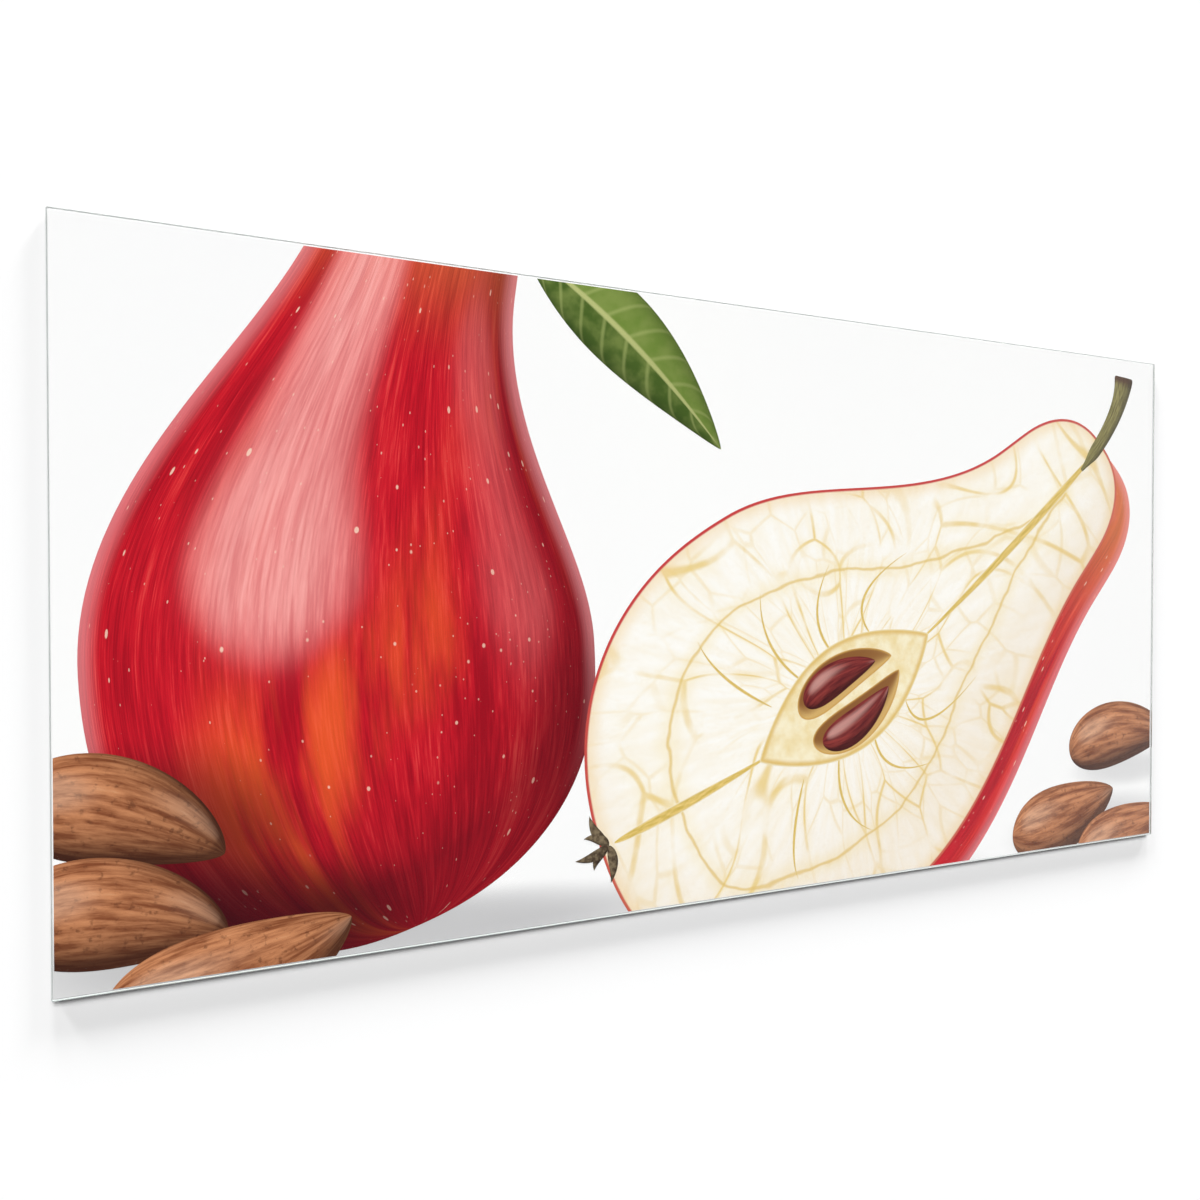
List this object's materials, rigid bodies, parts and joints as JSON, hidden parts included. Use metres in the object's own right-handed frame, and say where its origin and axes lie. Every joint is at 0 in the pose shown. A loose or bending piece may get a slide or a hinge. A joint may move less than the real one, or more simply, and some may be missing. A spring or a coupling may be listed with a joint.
{
  "type": "printed glass panel",
  "caption": "Frameless rectangular glass wall picture, a clear pane with ground edges over a sheet printed with a fruit still life, lying face up.",
  "frame": {"origin": "middle of the underside, where the sheet lies on the surface below it", "axes": "+X along the picture's width to its right, +Y along its height to its top, +Z out of the picture's face"},
  "size_m": [1, 0.5, 0.0053],
  "materials": {
    "glass": "polished clear glass with a faint green edge",
    "print": "satin white printed sheet"
  },
  "bodies": {
    "root": {"glass_pane": "glass", "printed_sheet": "print"}
  },
  "joints": []
}
